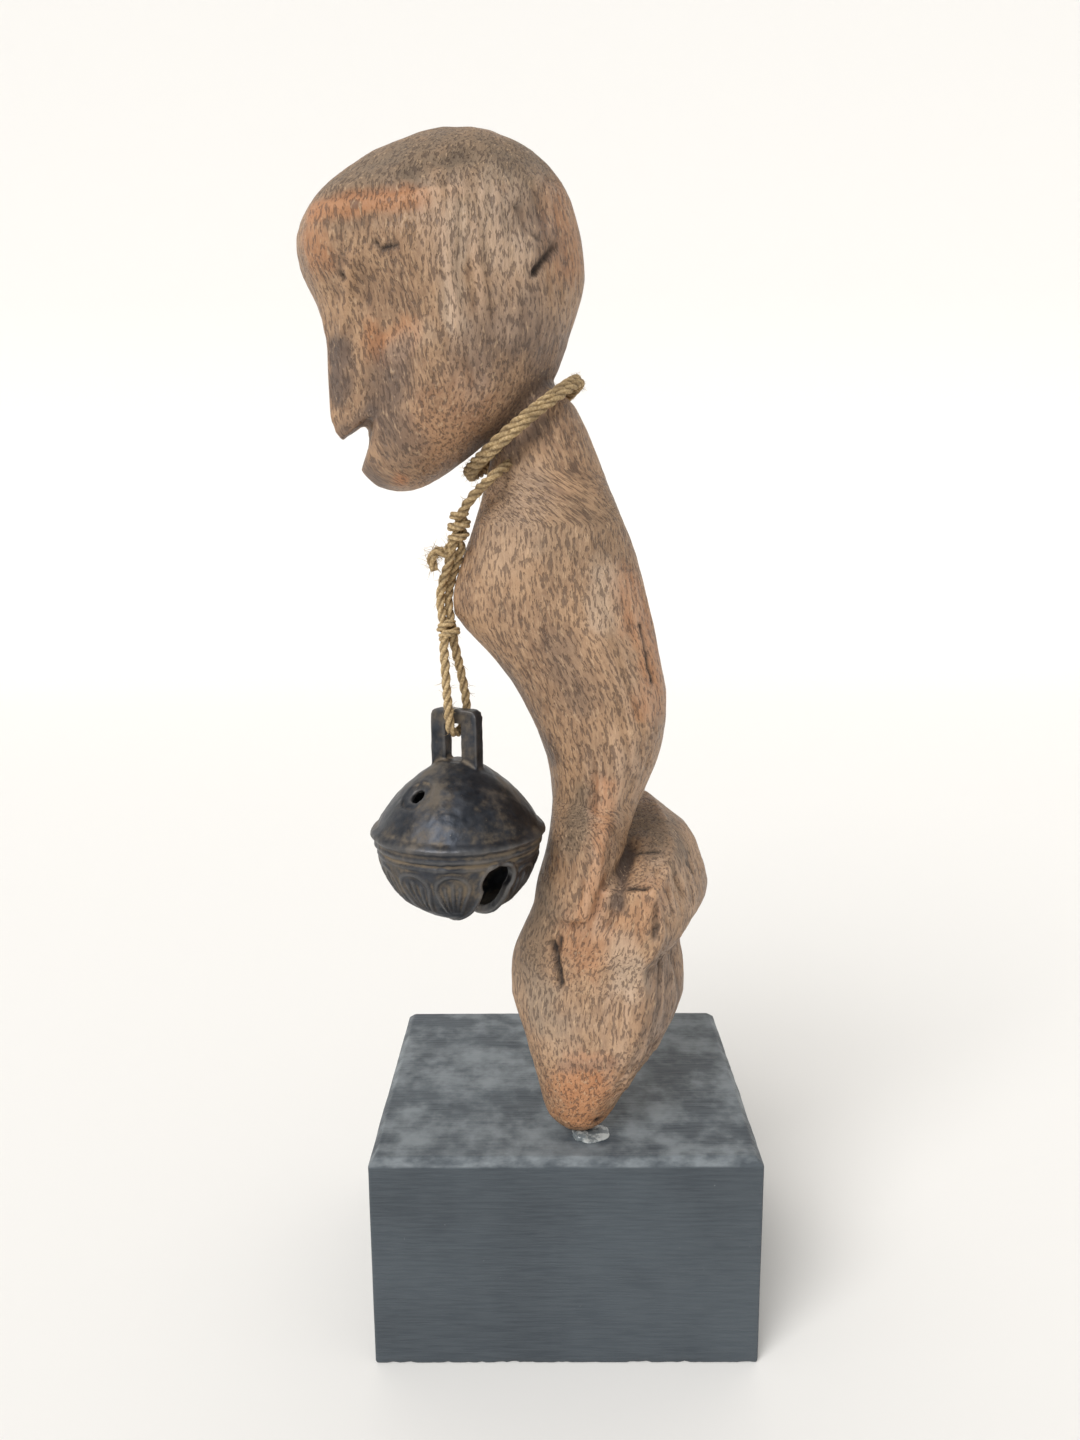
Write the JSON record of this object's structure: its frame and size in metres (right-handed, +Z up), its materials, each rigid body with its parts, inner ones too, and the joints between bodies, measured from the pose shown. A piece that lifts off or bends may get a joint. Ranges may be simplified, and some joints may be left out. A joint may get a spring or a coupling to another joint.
{
  "type": "divination figure",
  "caption": "Carved wooden spirit figure with a turned head on a curved body, standing on a painted plinth, with a crotal bell hung from its neck on twine.",
  "frame": {"origin": "centre of the plinth's underside", "axes": "+Z up, the figure's body faces -X, and its near side and turned head are towards -Y"},
  "size_m": [0.107, 0.0833, 0.2938],
  "materials": {
    "carved_wood": "weathered, hand-worn, with a dark patina",
    "painted_wood": "matt blue-black paint, brushed",
    "set_glue": "set clear glue",
    "blackened_bronze": "cast, blackened, with brown dust",
    "jute_twine": "laid jute with loose fibres"
  },
  "bodies": {
    "root": {"figure": "carved_wood", "plinth": "painted_wood", "adhesive_dab": "set_glue", "bell": "blackened_bronze", "twine_neck_turns": "jute_twine", "twine_drop": "jute_twine", "twine_upper_knot": "jute_twine", "twine_stub": "jute_twine", "twine_hanger": "jute_twine", "twine_lower_knot": "jute_twine", "twine_bell_loop": "jute_twine"}
  },
  "joints": []
}
